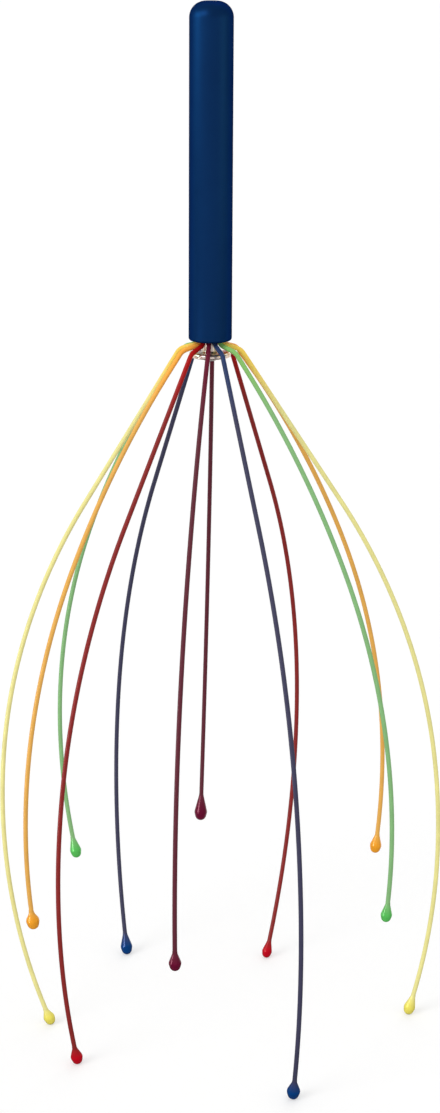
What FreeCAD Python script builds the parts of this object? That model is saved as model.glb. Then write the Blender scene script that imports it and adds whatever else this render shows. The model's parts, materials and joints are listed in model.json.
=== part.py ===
import FreeCAD
import Part
import os
from math import acos, asin, atan2, cos, degrees, hypot, radians, sin, tan

from FreeCAD import Vector

# A wire-prong head massager that stands on its long prongs: a slim handle, and twelve springy coated wires
# that come out of its open bottom, bend out over a metal spreader and bow down to beads on their tips.
# Millimetres and degrees. +Z is up along the handle's axis, and the long beads touch the floor at z = 0.

# Handle
handle_radius = 5.5
handle_length = 84.3
handle_crown_radius = 4.0
handle_lip_radius = 0.7
handle_top_wall = 3.0
mouth_height = 186.0
mouth_chamfer = 0.4

# Coated wire: a spring-steel core in a coloured jacket
jacket_radius = 0.6
core_radius = 0.4
core_clearance = 0.02

# How the wires are held in the handle and led out of it
root_ring_radius = 2.9
anchor_length = 24.0
mouth_bend_radius = 1.5
mouth_bend_drop = 0.9
knee_reach = 7.8
knee_drop = 2.4
knee_bend_radius = 3.0
knuckle_margin = 0.05
knuckle_clearance = 0.1

# Bow of the free prongs: a straight run below the knee, then an upper and a lower arc
long_straight = 47.0
long_upper_bow_radius = 156.0
long_lower_bow_radius = 180.0
long_upper_bow_share = 0.46
short_straight = 6.0
short_upper_bow_radius = 225.0
short_lower_bow_radius = 170.0
short_upper_bow_share = 0.35
short_tip_lift = 36.2

# Bead on each tip: an egg, narrower at its tip, drawn out into a tapered neck
bead_radius = 1.63
bead_tip_radius = 1.44
bead_body_rise = 0.75
bead_neck_rise = 2.4
bead_neck_wall = 0.15
bead_bore_clearance = 0.05

# Spreader: a round-rimmed disc and the hub that carries it
spreader_radius = 5.3
spreader_thickness = 1.3
spreader_drop = 3.0
spreader_rim_radius = 0.5
hub_radius = 2.0

# Grooved core plug, crimped ferrule and adhesive inside the handle
plug_recess = 1.0
groove_clearance = 0.02
ferrule_recess = 3.0
ferrule_wall = 0.3
ferrule_clearance = 0.03
bore_clearance = 0.03
adhesive_length = 8.0

# Screw that holds the spreader to the plug
screw_radius = 1.0
screw_length = 12.0
screw_head_radius = 1.7
screw_head_height = 0.9
screw_slot_width = 0.5
screw_slot_depth = 0.4
screw_clearance = 0.05

# The wires in order, counter-clockwise from the right as seen from above; long and short ones alternate
wires = [
    ("yellow", "right"), ("orange", "right"), ("red", "right"), ("plum", "back"),
    ("blue", "left"), ("green", "left"), ("yellow", "left"), ("orange", "left"),
    ("red", "left"), ("plum", "front"), ("blue", "right"), ("green", "right"),
]
first_azimuth = -6.0
azimuth_step = 360.0 / len(wires)

# How each wire is bent, in the same order. No two hand-bent prongs are quite alike: each has its knee and its
# heading a little off its even place round the handle, leans sideways, splays from the vertical and bows more
# or less, and the dipped beads differ in size and in the length of their necks.
knee_offsets = [7, 7, -4, 2, 3, 1, -1, 0, -1, 2, -1, 1]
heading_offsets = [0, -3.2, 4, 4.5, 5, 6, 13.7, 8.2, -5.5, -2, -6.5, 8.2]
leans = [0.8, 2, 1.5, 1.5, 1, 0.5, 1.7, 0.2, -1.5, -0.5, 1.5, 1.1]
splays = [33.7, 36.3, 29, 35, 28, 36, 31.9, 38.1, 30, 38.2, 35, 36]
bow_shares = [0.96, 0.93, 1.01, 0.94, 0.89, 1.11, 1.05, 1, 0.92, 1, 1.01, 0.93]
bead_shares = [0.94, 0.98, 0.86, 1.12, 1.02, 0.95, 0.93, 1.06, 0.96, 0.97, 1.04, 0.91]
neck_shares = [1.15, 1.1, 0.95, 1.8, 1.3, 1.2, 0.8, 0.85, 1, 1, 1.1, 1.05]

cut_overrun = 1.0
edge_tolerance = 0.001

# Sizes that follow from the ones above
handle_top = mouth_height + handle_length
ferrule_radius = root_ring_radius + jacket_radius + ferrule_clearance
bore_radius = ferrule_radius + ferrule_wall + bore_clearance
wire_top = mouth_height + anchor_length
knuckle_radius = jacket_radius + knuckle_margin
knuckle_reach = knuckle_radius + cut_overrun
plug_bottom = mouth_height + plug_recess
spreader_top = mouth_height - spreader_drop
spreader_bottom = spreader_top - spreader_thickness
core_bore_radius = core_radius + core_clearance
up = Vector(0, 0, 1)


def round_bar(radius, bottom, top):
    """An upright cylinder on the handle's axis."""
    return Part.makeCylinder(radius, top - bottom, Vector(0, 0, bottom))


def level_edges(shape, z):
    """The edges of a turned shape that lie all round at one height."""
    return [edge for edge in shape.Edges if all(abs(v.Z - z) < edge_tolerance for v in edge.Vertexes)]


def radial(azimuth):
    """The level unit vector at an azimuth in degrees."""
    return Vector(cos(radians(azimuth)), sin(radians(azimuth)), 0)


def ring_face(point, direction, radius, bore):
    """A round wire section, with a hole for the core where bore is more than zero."""
    face = Part.Face(Part.Wire(Part.Circle(point, direction, radius).toShape()))
    if bore > 0:
        face = face.cut(ring_face(point, direction, bore, 0))
    return face


def ball_points(height, radius, start, end):
    """The first, middle and last point of an arc of a ball's outline, by angles up from level."""
    angles = [start, (start + end) / 2, end]
    return [Vector(radius * cos(angle), 0, height + radius * sin(angle)) for angle in angles]


class WirePath:
    """The centre line of a wire: straight runs and tangent bends, each from where the last one ends."""

    def __init__(self, point, direction):
        self.start_point = point
        self.start_direction = direction
        self.point = point
        self.direction = direction
        self.edges = []

    def straight(self, length):
        end = self.point + self.direction * length
        self.edges.append(Part.makeLine(self.point, end))
        self.point = end

    def bend(self, axis, radius, angle):
        centre = self.point + axis.cross(self.direction) * radius
        spoke = self.point - centre
        half_turn = FreeCAD.Rotation(axis, degrees(angle / 2))
        whole_turn = FreeCAD.Rotation(axis, degrees(angle))
        end = centre + whole_turn.multVec(spoke)
        self.edges.append(Part.Arc(self.point, centre + half_turn.multVec(spoke), end).toShape())
        self.point = end
        self.direction = whole_turn.multVec(self.direction)

    def pipe(self, radius, bore):
        section = ring_face(self.start_point, self.start_direction, radius, bore)
        return Part.Wire(self.edges).makePipe(section)


class BentWire:
    """One wire: its fixed root, from inside the handle to the knee, and its free prong with the bead."""

    def __init__(self, index):
        colour, side = wires[index]
        self.name = f"{colour}_{side}"
        is_long = index % 2 == 0
        azimuth = first_azimuth + index * azimuth_step
        splay = radians(splays[index])
        lean = radians(leans[index])
        outward = radial(azimuth)
        heading = radial(azimuth + heading_offsets[index])
        sideways = up.cross(heading)
        down = sideways * sin(lean) - up * cos(lean)
        prong_direction = down * cos(splay) + heading * sin(splay)
        self.bow_axis = heading.cross(down)

        # The root leaves the handle at the mouth bend and runs out to the knee.
        knee = radial(azimuth + knee_offsets[index]) * knee_reach - up * knee_drop
        run = knee - outward * root_ring_radius + up * mouth_bend_drop
        run_length = run.Length
        run_direction = run / run_length
        mouth_axis = run_direction.cross(up)
        mouth_turn = acos(-run_direction.dot(up))
        mouth_tangent = mouth_bend_radius * tan(mouth_turn / 2)
        knee_axis = run_direction.cross(prong_direction)
        knee_turn = asin(knee_axis.Length)
        knee_tangent = knee_bend_radius * tan(knee_turn / 2)
        self.root = WirePath(outward * root_ring_radius + up * wire_top, up * -1)
        self.root.straight(anchor_length + mouth_bend_drop - mouth_tangent)
        self.root.bend(mouth_axis / mouth_axis.Length, mouth_bend_radius, mouth_turn)
        self.root.straight(run_length - mouth_tangent - knee_tangent)
        self.root.bend(knee_axis / knee_axis.Length, knee_bend_radius, knee_turn)
        self.hinge = self.root.point

        # The prong bows down from the knee until its bead stands at the height set for its tip.
        self.bead_share = bead_shares[index]
        self.neck_rise = bead_neck_rise * neck_shares[index]
        tip_lift = 0 if is_long else short_tip_lift
        straight_run = long_straight if is_long else short_straight
        upper_radius = (long_upper_bow_radius if is_long else short_upper_bow_radius) / bow_shares[index]
        lower_radius = (long_lower_bow_radius if is_long else short_lower_bow_radius) / bow_shares[index]
        upper_share = long_upper_bow_share if is_long else short_upper_bow_share
        fall = (mouth_height - knee_drop - tip_lift - bead_tip_radius * self.bead_share) / cos(lean)
        bowed_fall = fall - straight_run * cos(splay)
        middle_angle = asin(sin(splay) - upper_share * bowed_fall / upper_radius)
        end_angle = asin(sin(middle_angle) - (1 - upper_share) * bowed_fall / lower_radius)
        self.prong = WirePath(self.hinge - prong_direction * knuckle_reach, prong_direction)
        self.prong.straight(knuckle_reach + straight_run - knee_tangent)
        self.prong.bend(self.bow_axis, upper_radius, splay - middle_angle)
        self.prong.bend(self.bow_axis, lower_radius, middle_angle - end_angle)

    def knuckle(self, radius):
        """A cylinder on the axis that the prong flexes about, long enough to reach through the wire."""
        length = 2 * knuckle_reach
        return Part.makeCylinder(radius, length, self.hinge - self.bow_axis * (length / 2), self.bow_axis)

    def root_solid(self, radius, bore=0):
        """The root, hollowed at the knee so that the prong's round end turns in it."""
        return self.root.pipe(radius, bore).cut(self.knuckle(knuckle_radius + knuckle_clearance)).Solids[0]

    def prong_solid(self, radius, bore=0):
        """The free prong, rounded at the knee about the axis that it flexes about."""
        reach = knuckle_reach + cut_overrun
        direction = self.prong.start_direction
        waste = Part.makeCylinder(reach, reach, self.hinge - direction * reach, direction)
        return self.prong.pipe(radius, bore).cut(waste.cut(self.knuckle(knuckle_radius))).Solids[0]

    def bead(self):
        """A teardrop dipped over the wire's end: two balls and the neck, joined by cones that touch them."""
        tip_radius = bead_tip_radius * self.bead_share
        body_radius = bead_radius * self.bead_share
        body_rise = bead_body_rise * self.bead_share
        neck_radius = jacket_radius + bead_bore_clearance + bead_neck_wall
        neck_reach = hypot(neck_radius, self.neck_rise)
        lower_slope = asin((tip_radius - body_radius) / body_rise)
        upper_slope = radians(90) - atan2(neck_radius, self.neck_rise) - acos(body_radius / neck_reach)
        tip_points = ball_points(0, tip_radius, radians(-90), lower_slope)
        body_points = ball_points(body_rise, body_radius, lower_slope, upper_slope)
        neck = Vector(neck_radius, 0, body_rise + self.neck_rise)
        neck_centre = Vector(0, 0, neck.z)
        outline = Part.Wire([
            Part.Arc(*tip_points).toShape(),
            Part.makeLine(tip_points[-1], body_points[0]),
            Part.Arc(*body_points).toShape(),
            Part.makeLine(body_points[-1], neck),
            Part.makeLine(neck, neck_centre),
            Part.makeLine(neck_centre, tip_points[0]),
        ])
        teardrop = Part.Face(outline).revolve(Vector(0, 0, 0), up, 360)
        bore = Part.makeCylinder(jacket_radius + bead_bore_clearance, neck.z + cut_overrun)
        drop = teardrop.cut(bore).Solids[0]
        drop.Placement = FreeCAD.Placement(self.prong.point, FreeCAD.Rotation(up, self.prong.direction * -1))
        return drop


def make_handle():
    """The grip: a tube, rounded and closed at the top, with a bevelled mouth at the bottom."""
    grip = round_bar(handle_radius, mouth_height, handle_top)
    grip = grip.makeFillet(handle_crown_radius, level_edges(grip, handle_top))
    grip = grip.makeFillet(handle_lip_radius, level_edges(grip, mouth_height))
    grip = grip.cut(round_bar(bore_radius, mouth_height - cut_overrun, handle_top - handle_top_wall))
    bevel = Part.makeCone(bore_radius + mouth_chamfer, bore_radius, mouth_chamfer, Vector(0, 0, mouth_height))
    return grip.cut(bevel).Solids[0]


def make_core_plug():
    """The plug in the middle of the wires, with a groove for each and a hole for the spreader's screw."""
    plug = round_bar(root_ring_radius, plug_bottom, wire_top)
    for index in range(len(wires)):
        place = radial(first_azimuth + index * azimuth_step) * root_ring_radius
        start = place + up * (plug_bottom - cut_overrun)
        length = wire_top - plug_bottom + 2 * cut_overrun
        plug = plug.cut(Part.makeCylinder(jacket_radius + groove_clearance, length, start))
    hole_top = spreader_bottom + screw_length + screw_clearance
    return plug.cut(round_bar(screw_radius + screw_clearance, plug_bottom - cut_overrun, hole_top)).Solids[0]


def make_ferrule():
    """The thin sleeve crimped round the wires before they go into the handle."""
    sleeve = round_bar(ferrule_radius + ferrule_wall, mouth_height + ferrule_recess, wire_top)
    return sleeve.cut(round_bar(ferrule_radius, mouth_height, wire_top + cut_overrun)).Solids[0]


def make_adhesive():
    """The cured adhesive above the wires' top ends, which keeps the bundle in the bore."""
    return round_bar(bore_radius - bore_clearance, wire_top, wire_top + adhesive_length)


def make_spreader():
    """The disc under the wires and its hub, which stands against the plug."""
    disc = round_bar(spreader_radius, spreader_bottom, spreader_top)
    rim = level_edges(disc, spreader_top) + level_edges(disc, spreader_bottom)
    disc = disc.makeFillet(spreader_rim_radius, rim)
    disc = disc.fuse(round_bar(hub_radius, spreader_bottom, plug_bottom)).removeSplitter()
    hole = round_bar(screw_radius + screw_clearance, spreader_bottom - cut_overrun, plug_bottom + cut_overrun)
    return disc.cut(hole).Solids[0]


def make_screw():
    """The slotted screw under the spreader."""
    head_bottom = spreader_bottom - screw_head_height
    head = round_bar(screw_head_radius, head_bottom, spreader_bottom)
    screw = head.fuse(round_bar(screw_radius, head_bottom, spreader_bottom + screw_length)).removeSplitter()
    slot_length = 2 * (screw_head_radius + cut_overrun)
    corner = Vector(-slot_length / 2, -screw_slot_width / 2, head_bottom - cut_overrun)
    slot = Part.makeBox(slot_length, screw_slot_width, screw_slot_depth + cut_overrun, corner)
    return screw.cut(slot).Solids[0]


def make_parts():
    """Every piece of the massager, under the name of its node."""
    parts = {
        "handle": make_handle(),
        "core_plug": make_core_plug(),
        "crimp_ferrule": make_ferrule(),
        "adhesive_plug": make_adhesive(),
        "spreader_disc": make_spreader(),
        "spreader_screw": make_screw(),
    }
    bent = [BentWire(index) for index in range(len(wires))]
    parts["core_roots"] = Part.makeCompound([wire.root_solid(core_radius) for wire in bent])
    for wire in bent:
        parts[f"root_{wire.name}"] = wire.root_solid(jacket_radius, core_bore_radius)
        parts[f"jacket_{wire.name}"] = wire.prong_solid(jacket_radius, core_bore_radius)
        parts[f"core_{wire.name}"] = wire.prong_solid(core_radius)
        parts[f"bead_{wire.name}"] = wire.bead()
    return parts


os.makedirs("parts", exist_ok=True)
for node, shape in make_parts().items():
    shape.exportStep(f"parts/{node}.step")
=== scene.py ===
import json
from math import acos, asin, atan2, cos, degrees, hypot, pi, radians, sin, tan

import bmesh
import bpy
from mathutils import Matrix, Quaternion, Vector


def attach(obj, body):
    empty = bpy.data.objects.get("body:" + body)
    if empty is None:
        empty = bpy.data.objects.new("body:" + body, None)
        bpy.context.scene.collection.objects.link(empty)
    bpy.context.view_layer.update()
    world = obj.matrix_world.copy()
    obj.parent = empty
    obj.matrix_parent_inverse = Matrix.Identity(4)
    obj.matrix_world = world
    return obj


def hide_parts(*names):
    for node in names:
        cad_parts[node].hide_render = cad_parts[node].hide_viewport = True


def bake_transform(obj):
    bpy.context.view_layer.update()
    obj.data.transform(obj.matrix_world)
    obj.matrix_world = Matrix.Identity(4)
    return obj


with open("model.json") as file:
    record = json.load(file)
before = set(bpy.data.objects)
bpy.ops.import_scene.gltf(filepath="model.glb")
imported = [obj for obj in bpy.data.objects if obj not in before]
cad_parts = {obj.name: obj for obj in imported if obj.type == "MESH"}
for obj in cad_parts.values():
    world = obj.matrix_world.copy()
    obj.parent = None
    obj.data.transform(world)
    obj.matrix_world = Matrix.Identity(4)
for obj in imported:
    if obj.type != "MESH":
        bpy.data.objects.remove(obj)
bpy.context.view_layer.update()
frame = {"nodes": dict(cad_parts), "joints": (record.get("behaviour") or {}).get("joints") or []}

# A wire-prong head massager that stands on its long prongs, dressed around its CAD frame. Metres and degrees.
mm = 0.001

# Handle
handle_radius = 5.5 * mm
handle_length = 84.3 * mm
handle_crown_radius = 4.0 * mm
handle_lip_radius = 0.7 * mm
handle_top_wall = 3.0 * mm
mouth_height = 186.0 * mm
mouth_chamfer = 0.4 * mm
bore_radius = 3.86 * mm

# Coated wires: how they leave the handle, and the bow of their free prongs
jacket_radius = 0.6 * mm
root_ring_radius = 2.9 * mm
anchor_length = 24.0 * mm
mouth_bend_radius = 1.5 * mm
mouth_bend_drop = 0.9 * mm
knee_reach = 7.8 * mm
knee_drop = 2.4 * mm
knee_bend_radius = 3.0 * mm
long_straight = 47.0 * mm
long_upper_bow_radius = 156.0 * mm
long_lower_bow_radius = 180.0 * mm
long_upper_bow_share = 0.46
short_straight = 6.0 * mm
short_upper_bow_radius = 225.0 * mm
short_lower_bow_radius = 170.0 * mm
short_upper_bow_share = 0.35
short_tip_lift = 36.2 * mm

# Beads: an egg, narrower at its tip, a cone drawn out of it along the wire, and a hollow curve where that
# runs out
bead_radius = 1.63 * mm
bead_tip_radius = 1.44 * mm
bead_body_rise = 0.75 * mm
bead_neck_rise = 2.4 * mm
bead_neck_radius = 0.8 * mm
bead_film = 0.03 * mm
bead_hollow_radius = 3.0 * mm

# Spreader and its screw
spreader_radius = 5.3 * mm
spreader_thickness = 1.3 * mm
spreader_drop = 3.0 * mm
spreader_rim_radius = 0.5 * mm
hub_radius = 2.0 * mm
hub_fillet = 0.4 * mm
plug_recess = 1.0 * mm
screw_radius = 1.0 * mm
screw_length = 12.0 * mm
screw_head_radius = 1.7 * mm
screw_head_height = 0.9 * mm
screw_edge_radius = 0.2 * mm
screw_slot_width = 0.5 * mm
screw_slot_depth = 0.4 * mm
screw_clearance = 0.05 * mm

# The wires in order, counter-clockwise from the right as seen from above, and how each is bent
wires = [
    ("yellow", "right"), ("orange", "right"), ("red", "right"), ("plum", "back"),
    ("blue", "left"), ("green", "left"), ("yellow", "left"), ("orange", "left"),
    ("red", "left"), ("plum", "front"), ("blue", "right"), ("green", "right"),
]
first_azimuth = -6.0
azimuth_step = 360.0 / len(wires)
knee_offsets = [7, 7, -4, 2, 3, 1, -1, 0, -1, 2, -1, 1]
heading_offsets = [0, -3.2, 4, 4.5, 5, 6, 13.7, 8.2, -5.5, -2, -6.5, 8.2]
leans = [0.8, 2, 1.5, 1.5, 1, 0.5, 1.7, 0.2, -1.5, -0.5, 1.5, 1.1]
splays = [33.7, 36.3, 29, 35, 28, 36, 31.9, 38.1, 30, 38.2, 35, 36]
bow_shares = [0.96, 0.93, 1.01, 0.94, 0.89, 1.11, 1.05, 1, 0.92, 1, 1.01, 0.93]
bead_shares = [0.94, 0.98, 0.86, 1.12, 1.02, 0.95, 0.93, 1.06, 0.96, 0.97, 1.04, 0.91]
neck_shares = [1.15, 1.1, 0.95, 1.8, 1.3, 1.2, 0.8, 0.85, 1, 1, 1.1, 1.05]

# How finely the pieces are meshed, and the angles above which their edges stay crisp
turned_sides = 96
screw_sides = 48
bead_sides = 40
wire_sides = 20
arc_steps = 12
run_steps = 4
bow_steps = 48
turned_edge_angle = 32.0
wire_edge_angle = 50.0
bead_edge_angle = 60.0
flat_edge_angle = 30.0

# Two distances along a prong's wire, above and below the hinge
flex_above = 3.0 * mm
flex_below = 5.0 * mm

# Camera: the photo's height and focal length in pixels, where the camera stands and how it is turned
frame_height = 1113
focal_pixels = 2545
sensor_side = 36.0
camera_distance = 636.7 * mm
camera_height = 308.8 * mm
camera_pitch = 15.78
camera_yaw = -0.24
camera_roll = 0.23

# Colours, as 8-bit sRGB
handle_navy = (17, 53, 101)
handle_navy_deep = (14, 46, 90)
wire_colours = {
    "yellow": (240, 232, 153),
    "orange": (234, 176, 86),
    "red": (140, 42, 41),
    "plum": (99, 42, 55),
    "blue": (66, 65, 90),
    "green": (136, 187, 125),
}
# Root colours: the coating's deeper tint near the handle, lightened with painted light against the handle's
# shade
root_tint_and_painted_light = {
    "yellow": (252, 214, 92),
    "orange": (255, 176, 70),
    "red": (172, 14, 16),
    "plum": (106, 24, 48),
    "blue": (46, 62, 104),
    "green": (138, 196, 108),
}
bead_colours = {
    "yellow": (239, 226, 100),
    "orange": (243, 162, 43),
    "red": (190, 3, 28),
    "plum": (102, 13, 47),
    "blue": (3, 59, 121),
    "green": (90, 191, 91),
}

# How far below the handle's mouth the wires' coating has lost its root colour: a deeper tint, lightened with
# painted light where the handle's shade falls
root_tint_and_painted_light_length = 20.0 * mm

# Where a bead's mesh keeps how thin its enamel is
thin_film = "thin_film"

# How much detail the finishes' noise has
fine_detail = 2.0
cloud_detail = 3.0
polish_detail = 4.0

# Handle lacquer: clouds in its depth and a fine orange peel
lacquer_cloud = 9.0 * mm
lacquer_metallic = 0.5
lacquer_roughness = 0.36
lacquer_roughness_spread = 0.10
lacquer_edge_tint = (60, 90, 130)
lacquer_peel = 0.35 * mm
lacquer_peel_strength = 0.10
lacquer_peel_depth = 0.05 * mm

# Wire coating: streaks and a fine grain
coating_streak = 4.0 * mm
coating_dark_gain = 0.86
coating_light_gain = 1.10
coating_roughness = 0.34
coating_roughness_spread = 0.14
coating_gloss = 0.1
coating_grain = 0.25 * mm
coating_grain_strength = 0.08
coating_grain_depth = 0.03 * mm

# Bead enamel: clouds in its depth and a slight ripple
enamel_cloud = 1.6 * mm
enamel_dark_gain = 0.88
enamel_light_gain = 1.08
enamel_roughness = 0.18
enamel_roughness_spread = 0.08
enamel_gloss = 0.3
enamel_white_share = 0.4
enamel_ripple = 0.8 * mm
enamel_ripple_strength = 0.06
enamel_ripple_depth = 0.04 * mm

# Metals: what their marks do, and each one's tint, roughness and size of marks
metal_dark_gain = 0.94
metal_light_gain = 1.02
metal_mark_strength = 0.05
metal_mark_depth = 0.02 * mm
nickel_tint = (246, 228, 218)
nickel_roughness = 0.24
nickel_roughness_spread = 0.10
nickel_mark = 0.6 * mm
screw_tint = (176, 176, 180)
screw_roughness = 0.22
screw_roughness_spread = 0.15
screw_mark = 0.4 * mm
ferrule_tint = (200, 202, 205)
ferrule_roughness = 0.30
ferrule_roughness_spread = 0.15
ferrule_mark = 0.5 * mm
spring_tint = (168, 168, 172)
spring_roughness = 0.25
spring_roughness_spread = 0.12
spring_mark = 0.4 * mm

# Nylon and adhesive: what their clouds do, and each one's tint, roughness and size of clouds
moulded_dark_gain = 0.88
moulded_light_gain = 1.06
moulded_roughness_spread = 0.15
moulded_cloud_strength = 0.12
moulded_cloud_depth = 0.05 * mm
nylon_tint = (214, 208, 196)
nylon_roughness = 0.45
nylon_cloud = 1.2 * mm
adhesive_tint = (206, 178, 122)
adhesive_roughness = 0.20
adhesive_cloud = 2.0 * mm

# Stage: the paper floor and the room's light from the camera's side to the back
white = (1.0, 1.0, 1.0, 1.0)
floor_side = 24.0
floor_albedo = 0.6
paper_fibre = 2.0 * mm
paper_thin_gain = 0.995
paper_thick_gain = 1.005
front_ambient = 1.0
back_ambient = 0.55
mean_ambient = 0.71
room_front = -0.7
room_back = 0.4

# Stage: what gloss mirrors, a dark room in front and a dark card on the floor
studio_dark = 0.10
backdrop_front = 0.0
backdrop_back = 0.7
card_near = -0.08
card_far = 0.45
card_fade = 0.06

# Stage: suns, by strength, angles and spread in degrees
key_strength = 1.05
key_azimuth = -45.0
key_elevation = 32.0
key_spread = 30.0
back_strength = 0.6
back_azimuth = 165.0
back_elevation = 35.0
back_spread = 50.0

# Stage: soft boxes that show in the gloss of the handle and the beads
wide_spread = 180.0
plain_light = (1.0, 1.0, 1.0)
left_softbox_place = (-0.25, -0.06, 0.33)
left_softbox_target = (0, 0, 0.26)
left_softbox_width = 0.16
left_softbox_height = 0.14
left_softbox_power = 0.40
left_softbox_colour = (0.60, 1.0, 0.90)
right_card_place = (0.26, -0.12, 0.26)
right_card_target = (0, 0, 0.225)
right_card_width = 0.16
right_card_height = 0.16
right_card_power = 0.12
right_card_colour = (1.0, 0.85, 0.40)
strip_place = (-0.17, -0.09, 0.065)
strip_target = (0, 0.02, 0.03)
strip_width = 0.065
strip_height = 0.13
strip_power = 0.11
strip_spread = 80.0

up = Vector((0, 0, 1))
handle_top = mouth_height + handle_length
spreader_top = mouth_height - spreader_drop
spreader_bottom = spreader_top - spreader_thickness
plug_bottom = mouth_height + plug_recess


# Meshes

def finish_mesh(name, shape, sharp_angle):
    """Turns a bmesh into a smooth object whose edges stay crisp above an angle."""
    bmesh.ops.recalc_face_normals(shape, faces=shape.faces)
    mesh = bpy.data.meshes.new(name)
    shape.to_mesh(mesh)
    shape.free()
    mesh.shade_smooth()
    mesh.set_sharp_from_angle(angle=radians(sharp_angle))
    piece = bpy.data.objects.new(name, mesh)
    bpy.context.scene.collection.objects.link(piece)
    return piece


def arc(centre, radius, start, end):
    """Points of an outline along an arc, given in degrees from the outward direction."""
    angles = [radians(start + (end - start) * step / arc_steps) for step in range(arc_steps + 1)]
    return [(centre[0] + radius * cos(angle), centre[1] + radius * sin(angle)) for angle in angles]


def turned_rings(shape, outline, sides):
    """The rings of vertices of a turned outline of (radius, height) points, one vertex on the axis."""
    rings = []
    for radius, height in outline:
        if radius == 0:
            rings.append([shape.verts.new((0, 0, height))])
        else:
            angles = [2 * pi * side / sides for side in range(sides)]
            rings.append([shape.verts.new((radius * cos(a), radius * sin(a), height)) for a in angles])
    return rings


def skin(shape, rings):
    """Faces between neighbouring rings, with fans where a ring is a single point."""
    for lower, upper in zip(rings, rings[1:]):
        sides = max(len(lower), len(upper))
        for side in range(sides):
            after = (side + 1) % sides
            corners = [lower[side], lower[after]] if len(lower) > 1 else [lower[0]]
            corners += [upper[after], upper[side]] if len(upper) > 1 else [upper[0]]
            shape.faces.new(corners)


def lathe(name, outline, sides=turned_sides, ring=False, sharp_angle=turned_edge_angle):
    """A turned piece. A ring's outline is joined from its last point to its first."""
    shape = bmesh.new()
    rings = turned_rings(shape, outline, sides)
    skin(shape, rings + rings[:1] if ring else rings)
    return finish_mesh(name, shape, sharp_angle)


def tube(name, points, radii):
    """A wire swept along points, closed at both ends."""
    shape = bmesh.new()
    neighbours = zip(points[:1] + points, points[1:] + points[-1:])
    tangents = [(after - before).normalized() for before, after in neighbours]
    normal = tangents[0].orthogonal().normalized()
    rings = []
    for index, (point, tangent, radius) in enumerate(zip(points, tangents, radii)):
        if index > 0:
            normal = tangents[index - 1].rotation_difference(tangent) @ normal
        binormal = tangent.cross(normal)
        angles = [2 * pi * side / wire_sides for side in range(wire_sides)]
        spokes = [normal * cos(a) + binormal * sin(a) for a in angles]
        rings.append([shape.verts.new(point + spoke * radius) for spoke in spokes])
    skin(shape, rings)
    shape.faces.new(rings[0])
    shape.faces.new(rings[-1])
    return finish_mesh(name, shape, wire_edge_angle)


class CentreLine:
    """Points along a wire: straight runs and tangent bends, each from where the last one ends."""

    def __init__(self, point, direction):
        self.point = point
        self.direction = direction
        self.points = [point]

    def straight(self, length, steps):
        start = self.point
        self.points += [start + self.direction * (length * step / steps) for step in range(1, steps + 1)]
        self.point = self.points[-1]

    def bend(self, axis, radius, angle, steps):
        centre = self.point + axis.cross(self.direction) * radius
        spoke = self.point - centre
        turns = [Quaternion(axis, angle * step / steps) for step in range(1, steps + 1)]
        self.points += [centre + turn @ spoke for turn in turns]
        self.point = self.points[-1]
        self.direction = turns[-1] @ self.direction


def radial(azimuth):
    """The level unit vector at an azimuth in degrees."""
    return Vector((cos(radians(azimuth)), sin(radians(azimuth)), 0))


def bent_wire(index):
    """A wire's centre line from inside the handle to its bead, and the way its prong leaves the knee."""
    is_long = index % 2 == 0
    azimuth = first_azimuth + index * azimuth_step
    splay = radians(splays[index])
    lean = radians(leans[index])
    outward = radial(azimuth)
    heading = radial(azimuth + heading_offsets[index])
    down = up.cross(heading) * sin(lean) - up * cos(lean)
    prong_direction = down * cos(splay) + heading * sin(splay)
    bow_axis = heading.cross(down)

    # Out of the handle and over the spreader to the knee
    knee = radial(azimuth + knee_offsets[index]) * knee_reach - up * knee_drop
    run = knee - outward * root_ring_radius + up * mouth_bend_drop
    run_direction = run.normalized()
    mouth_turn = acos(-run_direction.dot(up))
    mouth_tangent = mouth_bend_radius * tan(mouth_turn / 2)
    knee_axis = run_direction.cross(prong_direction)
    knee_turn = asin(knee_axis.length)
    knee_tangent = knee_bend_radius * tan(knee_turn / 2)
    line = CentreLine(outward * root_ring_radius + up * (mouth_height + anchor_length), -up)
    line.straight(anchor_length + mouth_bend_drop - mouth_tangent, arc_steps)
    line.bend(run_direction.cross(up).normalized(), mouth_bend_radius, mouth_turn, arc_steps)
    line.straight(run.length - mouth_tangent - knee_tangent, run_steps)
    line.bend(knee_axis.normalized(), knee_bend_radius, knee_turn, arc_steps)

    # Down the prong's bow to the bead
    tip_lift = 0 if is_long else short_tip_lift
    straight_run = long_straight if is_long else short_straight
    upper_radius = (long_upper_bow_radius if is_long else short_upper_bow_radius) / bow_shares[index]
    lower_radius = (long_lower_bow_radius if is_long else short_lower_bow_radius) / bow_shares[index]
    upper_share = long_upper_bow_share if is_long else short_upper_bow_share
    fall = (mouth_height - knee_drop - tip_lift - bead_tip_radius * bead_shares[index]) / cos(lean)
    bowed_fall = fall - straight_run * cos(splay)
    middle_angle = asin(sin(splay) - upper_share * bowed_fall / upper_radius)
    end_angle = asin(sin(middle_angle) - (1 - upper_share) * bowed_fall / lower_radius)
    line.straight(straight_run - knee_tangent, bow_steps)
    line.bend(bow_axis, upper_radius, splay - middle_angle, bow_steps)
    line.bend(bow_axis, lower_radius, middle_angle - end_angle, bow_steps)
    return line, prong_direction


# Finishes

class Signal:
    """A socket's value, with arithmetic that adds Math nodes to its tree."""

    def __init__(self, finish, socket):
        self.finish = finish
        self.socket = socket

    def __add__(self, other):
        return self.finish.maths("ADD", self, other)

    def __sub__(self, other):
        return self.finish.maths("SUBTRACT", self, other)

    def __rsub__(self, other):
        return self.finish.maths("SUBTRACT", other, self)

    def __mul__(self, other):
        return self.finish.maths("MULTIPLY", self, other)

    __radd__ = __add__
    __rmul__ = __mul__


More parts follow.
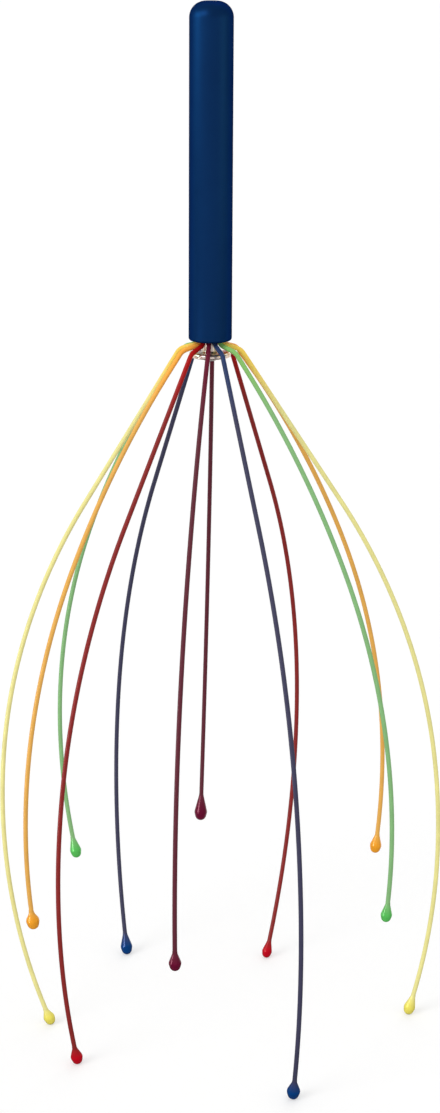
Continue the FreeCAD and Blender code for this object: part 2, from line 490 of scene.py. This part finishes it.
class Finish:
    """A tree of shader nodes, emptied and built anew."""

    def __init__(self, tree):
        self.tree = tree
        tree.nodes.clear()

    def node(self, kind, settings=(), sockets=()):
        """A node of this type: its settings first, then values or links into its sockets.

        Gives the node's first output.
        """
        made = self.tree.nodes.new(kind)
        for setting, value in dict(settings).items():
            setattr(made, setting, value)
        for socket, value in dict(sockets).items():
            if isinstance(value, Signal):
                self.tree.links.new(value.socket, made.inputs[socket])
            else:
                made.inputs[socket].default_value = value
        return Signal(self, next((output for output in made.outputs if output.enabled), None))

    def other_output(self, signal, name):
        """Another output of the node that gave a signal."""
        return Signal(self, signal.socket.node.outputs[name])

    def maths(self, operation, *values):
        return self.node("ShaderNodeMath", {"operation": operation}, enumerate(values))

    def mix_colours(self, share, first, second):
        colours = {"Factor": share, 6: first, 7: second}
        return self.node("ShaderNodeMix", {"data_type": "RGBA"}, colours)

    def mix_shaders(self, share, first, second):
        return self.node("ShaderNodeMixShader", (), {"Fac": share, 1: first, 2: second})

    def noise(self, grain, detail=fine_detail):
        """Noise in the piece's own space, with features about one grain across."""
        place = self.other_output(self.node("ShaderNodeTexCoord"), "Object")
        return self.node("ShaderNodeTexNoise", (), {"Vector": place, "Scale": 1 / grain, "Detail": detail})

    def fade(self, value, start, end, low=0.0, high=1.0):
        """A smooth change from one level to another as a value goes from start to end."""
        levels = {"Value": value, "From Min": start, "From Max": end, "To Min": low, "To Max": high}
        return self.node("ShaderNodeMapRange", {"interpolation_type": "SMOOTHSTEP"}, levels)

    def bump(self, height, strength, depth):
        return self.node("ShaderNodeBump", (), {"Height": height, "Strength": strength, "Distance": depth})


def linear(colour, gain=1.0):
    """An 8-bit sRGB colour as linear light, with alpha."""
    shares = [channel / 255 for channel in colour]
    return [gain * (s / 12.92 if s <= 0.04045 else ((s + 0.055) / 1.055) ** 2.4) for s in shares] + [1.0]


def pale(light, share):
    """A colour of the same hue whose brightest channel is one, with a share of white."""
    return [share + (1 - share) * channel / max(light[:3]) for channel in light[:3]] + [1.0]


def new_material(name):
    material = bpy.data.materials.new(name)
    material.use_nodes = True
    return material, Finish(material.node_tree)


def show_surface(finish, surface):
    finish.node("ShaderNodeOutputMaterial", (), {"Surface": surface})


def handle_lacquer():
    """Satin navy lacquer, a little uneven in depth, with a fine orange peel."""
    material, finish = new_material("handle_lacquer")
    clouds = finish.noise(lacquer_cloud, cloud_detail)
    peel = finish.noise(lacquer_peel)
    colour = finish.mix_colours(clouds, linear(handle_navy_deep), linear(handle_navy))
    show_surface(finish, finish.node("ShaderNodeBsdfPrincipled", (), {
        "Base Color": colour,
        "Metallic": lacquer_metallic,
        "Roughness": lacquer_roughness + lacquer_roughness_spread * clouds,
        "Specular IOR Level": 0.0,
        "Specular Tint": linear(lacquer_edge_tint),
        "Normal": finish.bump(peel, lacquer_peel_strength, lacquer_peel_depth),
    }))
    return material


def jacket_coating(colour):
    """The semi-gloss coating of a wire, slightly uneven, and deeper in colour towards the handle, where
    painted light also lightens the handle's shade.
    """
    material, finish = new_material(colour + "_coating")
    streaks = finish.noise(coating_streak, cloud_detail)
    grain = finish.noise(coating_grain)
    tint = wire_colours[colour]
    coating = finish.mix_colours(streaks, linear(tint, coating_dark_gain), linear(tint, coating_light_gain))
    place = finish.other_output(finish.node("ShaderNodeTexCoord"), "Object")
    height = finish.other_output(finish.node("ShaderNodeSeparateXYZ", (), {"Vector": place}), "Z")
    # Painted light: towards the handle the coating takes the root colour, which also lightens the shade under
    # the handle
    depth = finish.fade(height, mouth_height - root_tint_and_painted_light_length, mouth_height - knee_drop)
    show_surface(finish, finish.node("ShaderNodeBsdfPrincipled", (), {
        "Base Color": finish.mix_colours(depth, coating, linear(root_tint_and_painted_light[colour])),
        "Roughness": coating_roughness + coating_roughness_spread * streaks,
        "Specular IOR Level": coating_gloss,
        "Normal": finish.bump(grain, coating_grain_strength, coating_grain_depth),
    }))
    return material


def bead_enamel(colour):
    """The thick glossy drop on a tip, deeper in colour than the wire, which shows through its thin neck."""
    material, finish = new_material(colour + "_enamel")
    depth = finish.noise(enamel_cloud)
    ripple = finish.noise(enamel_ripple)
    thinness = finish.other_output(finish.node("ShaderNodeAttribute", {"attribute_name": thin_film}), "Fac")
    tint = bead_colours[colour]
    enamel = finish.mix_colours(depth, linear(tint, enamel_dark_gain), linear(tint, enamel_light_gain))
    show_surface(finish, finish.node("ShaderNodeBsdfPrincipled", (), {
        "Base Color": finish.mix_colours(thinness, enamel, linear(wire_colours[colour])),
        "Roughness": enamel_roughness + enamel_roughness_spread * depth,
        "Specular IOR Level": enamel_gloss,
        "Specular Tint": pale(linear(tint), enamel_white_share),
        "Normal": finish.bump(ripple, enamel_ripple_strength, enamel_ripple_depth),
    }))
    return material


def metal(name, tint, roughness, roughness_spread, mark):
    """Bare metal with fine marks from turning and polishing."""
    material, finish = new_material(name)
    marks = finish.noise(mark, polish_detail)
    colour = finish.mix_colours(marks, linear(tint, metal_dark_gain), linear(tint, metal_light_gain))
    show_surface(finish, finish.node("ShaderNodeBsdfPrincipled", (), {
        "Base Color": colour,
        "Metallic": 1.0,
        "Roughness": roughness + roughness_spread * marks,
        "Normal": finish.bump(marks, metal_mark_strength, metal_mark_depth),
    }))
    return material


def moulded(name, tint, roughness, cloud):
    """A moulded or cast plastic."""
    material, finish = new_material(name)
    clouds = finish.noise(cloud, cloud_detail)
    colour = finish.mix_colours(clouds, linear(tint, moulded_dark_gain), linear(tint, moulded_light_gain))
    show_surface(finish, finish.node("ShaderNodeBsdfPrincipled", (), {
        "Base Color": colour,
        "Roughness": roughness + moulded_roughness_spread * clouds,
        "Normal": finish.bump(clouds, moulded_cloud_strength, moulded_cloud_depth),
    }))
    return material


# Pieces

def dress(piece, material, slot, *nodes):
    """Gives a new piece its finish and hides the CAD nodes it stands for."""
    piece.data.materials.append(material)
    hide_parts(*nodes)


def make_handle():
    bore_top = handle_top - handle_top_wall
    lip_centre = (handle_radius - handle_lip_radius, mouth_height + handle_lip_radius)
    crown_centre = (handle_radius - handle_crown_radius, handle_top - handle_crown_radius)
    outline = [(0, bore_top), (bore_radius, bore_top)]
    outline += [(bore_radius, mouth_height + mouth_chamfer), (bore_radius + mouth_chamfer, mouth_height)]
    outline += arc(lip_centre, handle_lip_radius, -90, 0)
    outline += arc(crown_centre, handle_crown_radius, 0, 90)
    outline += [(0, handle_top)]
    handle = lathe("handle_shell", outline)
    dress(handle, handle_lacquer(), "handle_blue", "handle")
    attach(handle, "grip")


def make_spreader():
    rim = spreader_rim_radius
    hole_radius = screw_radius + screw_clearance
    outline = [(hole_radius, spreader_bottom)]
    outline += arc((spreader_radius - rim, spreader_bottom + rim), rim, -90, 0)
    outline += arc((spreader_radius - rim, spreader_top - rim), rim, 0, 90)
    outline += arc((hub_radius + hub_fillet, spreader_top + hub_fillet), hub_fillet, -90, -180)
    outline += [(hub_radius, plug_bottom), (hole_radius, plug_bottom)]
    spreader = lathe("spreader_plate", outline, ring=True)
    nickel = metal("polished_nickel", nickel_tint, nickel_roughness, nickel_roughness_spread, nickel_mark)
    dress(spreader, nickel, "spreader_metal", "spreader_disc")
    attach(spreader, "grip")


def make_screw():
    head_bottom = spreader_bottom - screw_head_height
    tip = spreader_bottom + screw_length
    outline = [(0, head_bottom)]
    edge_centre = (screw_head_radius - screw_edge_radius, head_bottom + screw_edge_radius)
    outline += arc(edge_centre, screw_edge_radius, -90, 0)
    outline += [(screw_head_radius, spreader_bottom), (screw_radius, spreader_bottom)]
    outline += [(screw_radius, tip), (0, tip)]
    screw = lathe("slotted_screw", outline, sides=screw_sides)

    # The slot's cutter is centred on the head's face and runs out past both sides
    cutter_shape = bmesh.new()
    bmesh.ops.create_cube(cutter_shape, size=1)
    cutter = finish_mesh("slot_cutter", cutter_shape, flat_edge_angle)
    cutter.scale = (4 * screw_head_radius, screw_slot_width, 2 * screw_slot_depth)
    cutter.location = (0, 0, head_bottom)
    cut = screw.modifiers.new("slot", "BOOLEAN")
    cut.operation = "DIFFERENCE"
    cut.solver = "EXACT"
    cut.object = cutter
    bpy.context.view_layer.update()
    slotted = bpy.data.meshes.new_from_object(screw.evaluated_get(bpy.context.evaluated_depsgraph_get()))
    screw.modifiers.clear()
    screw.data = slotted
    bpy.data.objects.remove(cutter)
    slotted.set_sharp_from_angle(angle=radians(turned_edge_angle))
    steel = metal("screw_steel", screw_tint, screw_roughness, screw_roughness_spread, screw_mark)
    dress(screw, steel, "screw_steel", "spreader_screw")
    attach(screw, "grip")


def drop_outline(size, neck_rise):
    """A bead's outline from its pole up: tip, body, cone and the hollow curve that ends on the wire."""
    tip_radius = bead_tip_radius * size
    body_radius = bead_radius * size
    body_rise = bead_body_rise * size
    end_radius = jacket_radius + bead_film
    lower_slope = asin((tip_radius - body_radius) / body_rise)
    neck_reach = hypot(bead_neck_radius, neck_rise)
    upper_slope = pi / 2 - atan2(bead_neck_radius, neck_rise) - acos(body_radius / neck_reach)
    cone_width = body_radius * cos(upper_slope) - end_radius - bead_hollow_radius * (1 - cos(upper_slope))
    cone_top = body_rise + body_radius * sin(upper_slope) + cone_width / tan(upper_slope)
    end_rise = cone_top + bead_hollow_radius * sin(upper_slope)
    tip = arc((0, 0), tip_radius, -90, degrees(lower_slope))
    body = arc((0, body_rise), body_radius, degrees(lower_slope), degrees(upper_slope))
    hollow_centre = (end_radius + bead_hollow_radius, end_rise)
    hollow = arc(hollow_centre, bead_hollow_radius, 180 + degrees(upper_slope), 180)
    return [(0, -tip_radius)] + tip[1:] + body + hollow + [(0, end_rise)]


def mark_thin_film(bead, start, end):
    """Marks how thin a bead's enamel is: zero up to a height, and one at the end of its neck."""
    thinness = bead.data.attributes.new(thin_film, "FLOAT", "POINT")
    for vertex, mark in zip(bead.data.vertices, thinness.data):
        mark.value = min(max((vertex.co.z - start) / (end - start), 0), 1)


def make_prong(index, coating, enamel):
    """A coated wire, bent along its centre line, and the bead on its tip, which is attached to its prong."""
    colour, side = wires[index]
    name = colour + "_" + side
    line, prong_direction = bent_wire(index)
    hinge = Vector(next(joint["pos_m"] for joint in frame["joints"] if joint["name"] == "flex_" + name))
    wire = tube("coated_wire_" + name, line.points, [jacket_radius] * len(line.points))
    dress(wire, coating, colour + "_jacket", "root_" + name, "jacket_" + name, "core_" + name)
    start = hinge - prong_direction * flex_above
    end = hinge + prong_direction * flex_below
    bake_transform(wire)

    outline = drop_outline(bead_shares[index], bead_neck_rise * neck_shares[index])
    bead = lathe("tip_bead_" + name, outline, sides=bead_sides, sharp_angle=bead_edge_angle)
    mark_thin_film(bead, bead_radius * bead_shares[index], outline[-1][1])
    turn = up.rotation_difference(-line.direction)
    bead.data.transform(Matrix.Translation(line.point) @ turn.to_matrix().to_4x4())
    dress(bead, enamel, colour + "_bead", "bead_" + name)
    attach(bead, "prong_" + name)


def dress_inner_nodes():
    """Finishes for the pieces inside the handle, which show a little at its mouth."""
    finishes = {
        "core_plug": moulded("plug_nylon", nylon_tint, nylon_roughness, nylon_cloud),
        "crimp_ferrule": metal(
            "ferrule_aluminium", ferrule_tint, ferrule_roughness, ferrule_roughness_spread, ferrule_mark),
        "adhesive_plug": moulded("cured_adhesive", adhesive_tint, adhesive_roughness, adhesive_cloud),
        "core_roots": metal(
            "spring_steel", spring_tint, spring_roughness, spring_roughness_spread, spring_mark),
    }
    for node, material in finishes.items():
        mesh = frame["nodes"][node].data
        mesh.materials.clear()
        mesh.materials.append(material)


# Stage

def seen_rays(finish):
    """One for what is seen straight, in a mirror or through glass, and zero for light that bounces."""
    path = finish.node("ShaderNodeLightPath")
    glossy = finish.other_output(path, "Is Glossy Ray")
    through = finish.other_output(path, "Is Transmission Ray")
    return finish.maths("MAXIMUM", finish.maths("MAXIMUM", path, glossy), through)


def make_floor():
    """A white paper floor that keeps soft shadows, and can be looked through from below.

    In gloss it shows a dark card around and in front of the prongs.
    """
    shape = bmesh.new()
    bmesh.ops.create_grid(shape, x_segments=1, y_segments=1, size=floor_side / 2)
    floor = finish_mesh("paper_floor", shape, flat_edge_angle)
    material, finish = new_material("white_paper")
    fibres = finish.noise(paper_fibre)
    thin_paper = [floor_albedo * paper_thin_gain] * 3 + [1]
    thick_paper = [floor_albedo * paper_thick_gain] * 3 + [1]
    paper = finish.node("ShaderNodeBsdfDiffuse", (), {
        "Color": finish.mix_colours(fibres, thin_paper, thick_paper),
    })
    sun_on_floor = key_strength * sin(radians(key_elevation)) / pi
    sun_on_floor += back_strength * sin(radians(back_elevation)) / pi
    glow = finish.node("ShaderNodeEmission", (), {
        "Color": white, "Strength": 1 - floor_albedo * (mean_ambient + sun_on_floor),
    })
    lit = finish.node("ShaderNodeAddShader", (), {0: paper, 1: glow})
    geometry = finish.node("ShaderNodeNewGeometry")
    place = finish.node("ShaderNodeSeparateXYZ", (), {"Vector": finish.other_output(geometry, "Position")})
    ahead = 0 - finish.other_output(place, "Y")
    near_edge = finish.fade(ahead, card_near, card_near + card_fade)
    far_edge = finish.fade(ahead, card_far, card_far + card_fade)
    card = near_edge - far_edge
    glossy = finish.other_output(finish.node("ShaderNodeLightPath"), "Is Glossy Ray")
    dark = finish.node("ShaderNodeEmission", (), {"Color": white, "Strength": studio_dark})
    seen = finish.mix_shaders(card * glossy, lit, dark)
    front = finish.mix_shaders(seen_rays(finish), paper, seen)
    behind = finish.other_output(geometry, "Backfacing")
    clear = finish.node("ShaderNodeBsdfTransparent")
    show_surface(finish, finish.mix_shaders(behind, front, clear))
    floor.data.materials.append(material)


def make_world():
    """A soft white studio: white where it is seen, and darker in mirrors towards the camera's side."""
    world = bpy.data.worlds.new("white_studio")
    world.use_nodes = True
    bpy.context.scene.world = world
    finish = Finish(world.node_tree)
    direction = finish.other_output(finish.node("ShaderNodeTexCoord"), "Generated")
    depth = finish.other_output(finish.node("ShaderNodeSeparateXYZ", (), {"Vector": direction}), "Y")
    backdrop = finish.fade(depth, backdrop_front, backdrop_back, studio_dark, 1.0)
    mirrored = finish.node("ShaderNodeBackground", (), {"Color": white, "Strength": backdrop})
    bare = finish.node("ShaderNodeBackground", (), {"Color": white, "Strength": 1.0})
    room = finish.fade(depth, room_front, room_back, front_ambient, back_ambient)
    soft = finish.node("ShaderNodeBackground", (), {"Color": white, "Strength": room})
    path = finish.node("ShaderNodeLightPath")
    glossy = finish.other_output(path, "Is Glossy Ray")
    seen = finish.mix_shaders(glossy, bare, mirrored)
    finish.node("ShaderNodeOutputWorld", (), {"Surface": finish.mix_shaders(seen_rays(finish), soft, seen)})


def make_sun(name, azimuth, elevation, strength, spread):
    """A wide sun, which lights the floor evenly.

    Azimuth 0 is on the camera's side, and it grows to the right.
    """
    data = bpy.data.lights.new(name, "SUN")
    data.energy = strength
    data.angle = radians(spread)
    lamp = bpy.data.objects.new(name, data)
    lamp.rotation_euler = (radians(90 - elevation), 0, radians(azimuth))
    bpy.context.scene.collection.objects.link(lamp)


def make_softbox(name, place, target, width, height, power, spread=wide_spread, colour=plain_light):
    """A soft box that faces a point, shines within a spread in degrees, and shows only in gloss."""
    data = bpy.data.lights.new(name, "AREA")
    data.shape = "RECTANGLE"
    data.size = width
    data.size_y = height
    data.energy = power
    data.spread = radians(spread)
    data.color = colour
    lamp = bpy.data.objects.new(name, data)
    lamp.location = place
    lamp.rotation_mode = "QUATERNION"
    lamp.rotation_quaternion = (Vector(target) - Vector(place)).to_track_quat("-Z", "Y")
    lamp.visible_camera = False
    lamp.visible_diffuse = False
    bpy.context.scene.collection.objects.link(lamp)


def make_camera():
    data = bpy.data.cameras.new("photo_camera")
    data.sensor_width = sensor_side
    data.lens = sensor_side * focal_pixels / frame_height
    camera = bpy.data.objects.new("photo_camera", data)
    camera.location = (0, -camera_distance, camera_height)
    pitch = Quaternion((1, 0, 0), radians(90 - camera_pitch))
    yaw = Quaternion((0, 1, 0), radians(camera_yaw))
    roll = Quaternion((0, 0, 1), radians(camera_roll))
    camera.rotation_mode = "QUATERNION"
    camera.rotation_quaternion = pitch @ yaw @ roll
    bpy.context.scene.collection.objects.link(camera)
    bpy.context.scene.camera = camera


bpy.context.scene.view_settings.view_transform = "Standard"
make_handle()
make_spreader()
make_screw()
coatings = {colour: jacket_coating(colour) for colour in wire_colours}
enamels = {colour: bead_enamel(colour) for colour in bead_colours}
for index, (colour, _) in enumerate(wires):
    make_prong(index, coatings[colour], enamels[colour])
dress_inner_nodes()
make_floor()
make_world()
make_sun("key_sun", key_azimuth, key_elevation, key_strength, key_spread)
make_sun("back_sun", back_azimuth, back_elevation, back_strength, back_spread)
make_softbox("left_softbox", left_softbox_place, left_softbox_target, left_softbox_width, left_softbox_height,
             left_softbox_power, colour=left_softbox_colour)
make_softbox("right_card", right_card_place, right_card_target, right_card_width, right_card_height,
             right_card_power, colour=right_card_colour)
make_softbox("bead_strip", strip_place, strip_target, strip_width, strip_height, strip_power, strip_spread)
make_camera()
